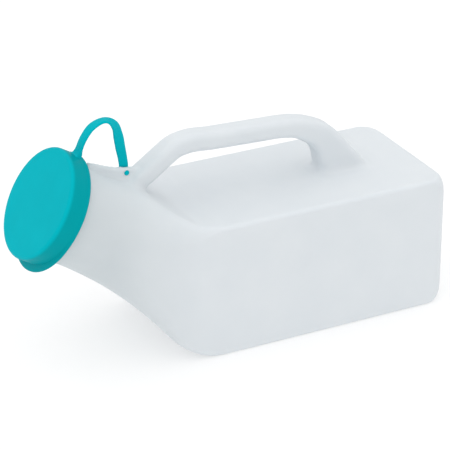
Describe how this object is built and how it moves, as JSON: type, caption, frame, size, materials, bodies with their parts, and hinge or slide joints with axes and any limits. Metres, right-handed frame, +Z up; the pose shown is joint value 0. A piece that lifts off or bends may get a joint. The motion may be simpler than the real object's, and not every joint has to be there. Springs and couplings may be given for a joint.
{
  "type": "urine bottle",
  "caption": "Box-shaped translucent bottle with a carrying handle, a slanted round spout and a push-on lid tethered by a flexible strap.",
  "frame": {"origin": "middle of the flat base, on the surface that the bottle stands on", "axes": "+X runs along the bottle to its rear face, +Z is up, and y = 0 is the plane of symmetry; the spout slants up towards -X"},
  "size_m": [0.2383, 0.0824, 0.1293],
  "materials": {
    "bottle_plastic": "translucent natural polyethylene, satin",
    "lid_plastic": "soft turquoise polyethylene, satin"
  },
  "bodies": {
    "bottle": {"bottle_body": "bottle_plastic", "bottle_neck": "bottle_plastic", "bottle_handle": "bottle_plastic", "tether_lug": "bottle_plastic"},
    "strap_end": {"strap_peg": "lid_plastic", "strap_tab": "lid_plastic", "strap_back_leg": "lid_plastic"},
    "strap_middle": {"strap_front_leg": "lid_plastic"},
    "lid": {"lid_cap": "lid_plastic"}
  },
  "joints": [
    {"name": "strap_pivot", "type": "hinge", "parent": "bottle", "child": "strap_end", "pos_m": [-0.0991, 0, 0.0974], "axis": [0, 1, 0], "range_deg": [0, 8]},
    {"name": "strap_flex", "type": "hinge", "parent": "strap_end", "child": "strap_middle", "pos_m": [-0.10984, 0, 0.12925], "axis": [0, 1, 0], "range_deg": [0, 27]},
    {"name": "lid_hinge", "type": "hinge", "parent": "strap_middle", "child": "lid", "pos_m": [-0.12578, 0, 0.11385], "axis": [0, 1, 0], "range_deg": [0, 75]}
  ],
  "couplings": [
    {"joint": "strap_pivot", "follows": "lid_hinge", "ratio": 0.1},
    {"joint": "strap_flex", "follows": "lid_hinge", "ratio": 0.35}
  ]
}
